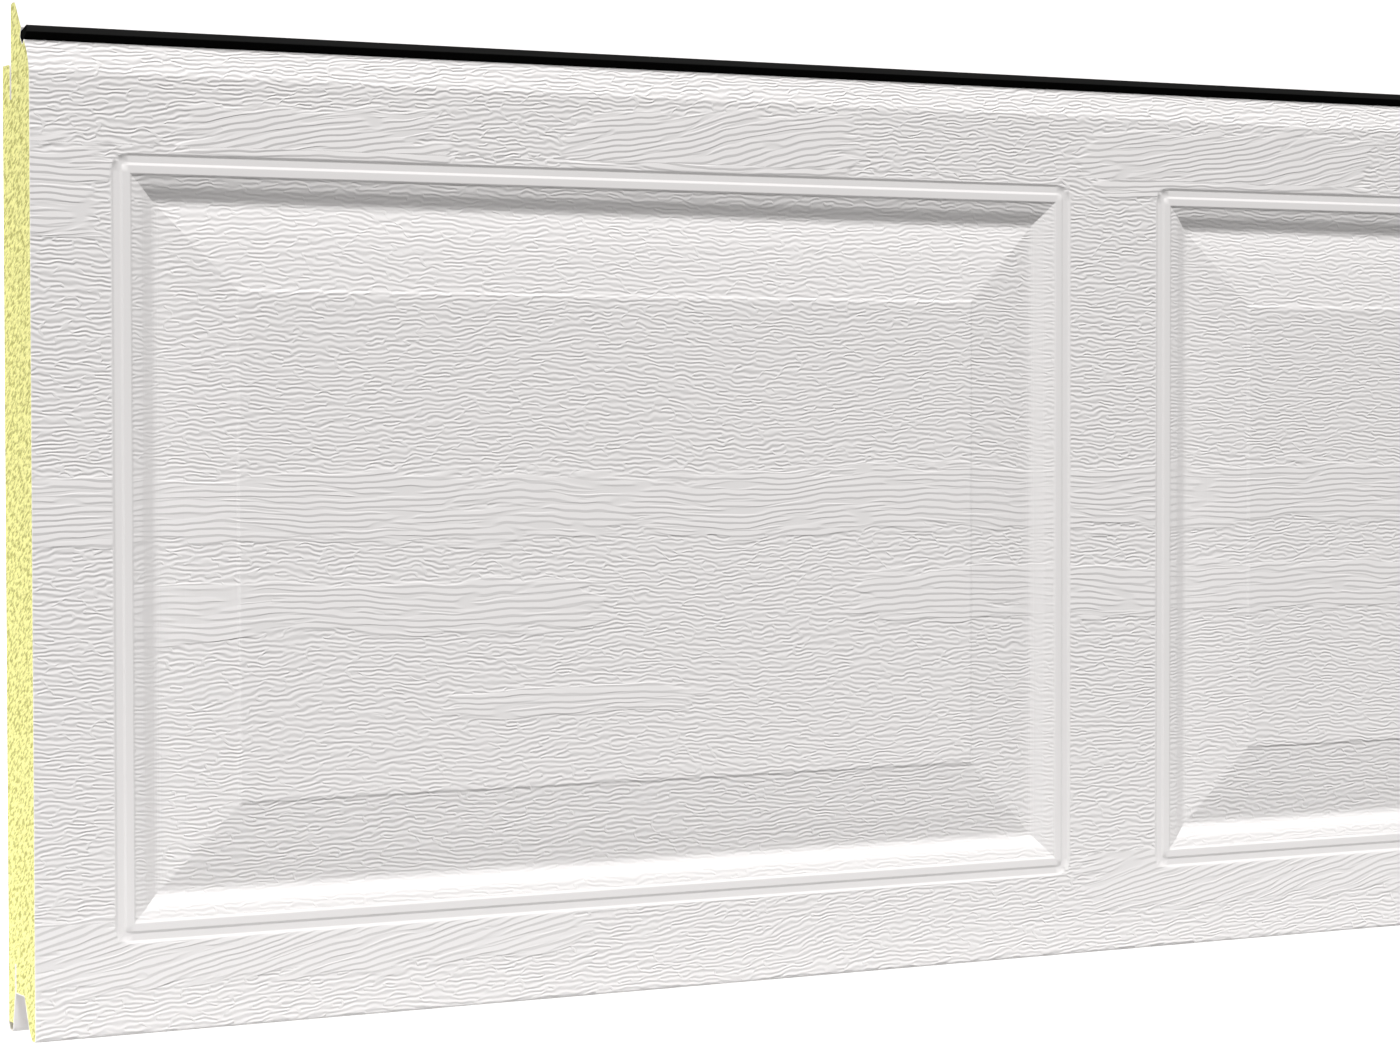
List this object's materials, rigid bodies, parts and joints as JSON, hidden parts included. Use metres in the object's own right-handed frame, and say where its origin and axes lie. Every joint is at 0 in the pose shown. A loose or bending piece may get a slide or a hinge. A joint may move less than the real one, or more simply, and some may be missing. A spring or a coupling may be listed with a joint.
{
  "type": "insulated tongue-and-groove cassette panel",
  "caption": "Insulated steel-faced panel with pressed cassettes on its front, tongue-and-groove long edges, foam core and a rubber seal.",
  "frame": {"origin": "under the middle of the panel, on the plane that its back face lies on", "axes": "+X along the panel, +Y towards the tongue and the seal, +Z out of the pressed front face"},
  "size_m": [2.6, 0.5196, 0.04],
  "materials": {
    "front_paint": "white paint over pressed wood grain, satin",
    "back_paint": "white paint, satin",
    "foam": "sawn rigid foam, pale yellow",
    "seal_rubber": "smooth black rubber"
  },
  "bodies": {
    "root": {"front_skin": "front_paint", "back_skin": "back_paint", "foam_core": "foam", "top_seal": "seal_rubber"}
  },
  "joints": []
}
